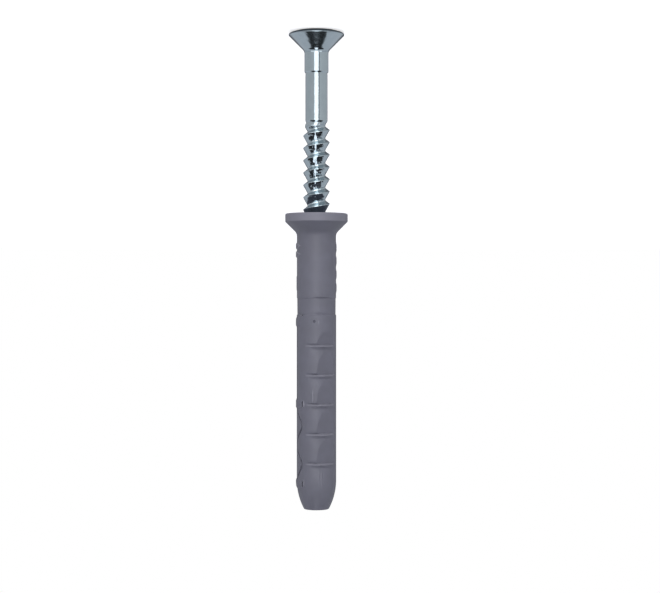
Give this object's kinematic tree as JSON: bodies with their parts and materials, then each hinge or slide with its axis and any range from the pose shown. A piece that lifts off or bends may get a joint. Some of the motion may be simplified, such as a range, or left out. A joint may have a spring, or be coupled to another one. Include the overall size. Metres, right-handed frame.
{
  "type": "hammer fixing plug",
  "caption": "Hammer-in wall fixing: a coarse-threaded steel nail-screw stands part-way out of a slit, ledged expansion sleeve with a countersunk collar.",
  "frame": {"origin": "centre of the flat top of the screw's head, which the plug stands on", "axes": "+Z along the screw and sleeve, from the head towards the tip of the sleeve; -Y is the side that faces the camera, with the ledges a little to one side of it"},
  "size_m": [0.0126, 0.0126, 0.097],
  "materials": {
    "grey_nylon": "satin",
    "zinc_plated_steel": "polished"
  },
  "bodies": {
    "root": {"plug_sleeve": "grey_nylon", "hammer_screw": "zinc_plated_steel"}
  },
  "joints": []
}
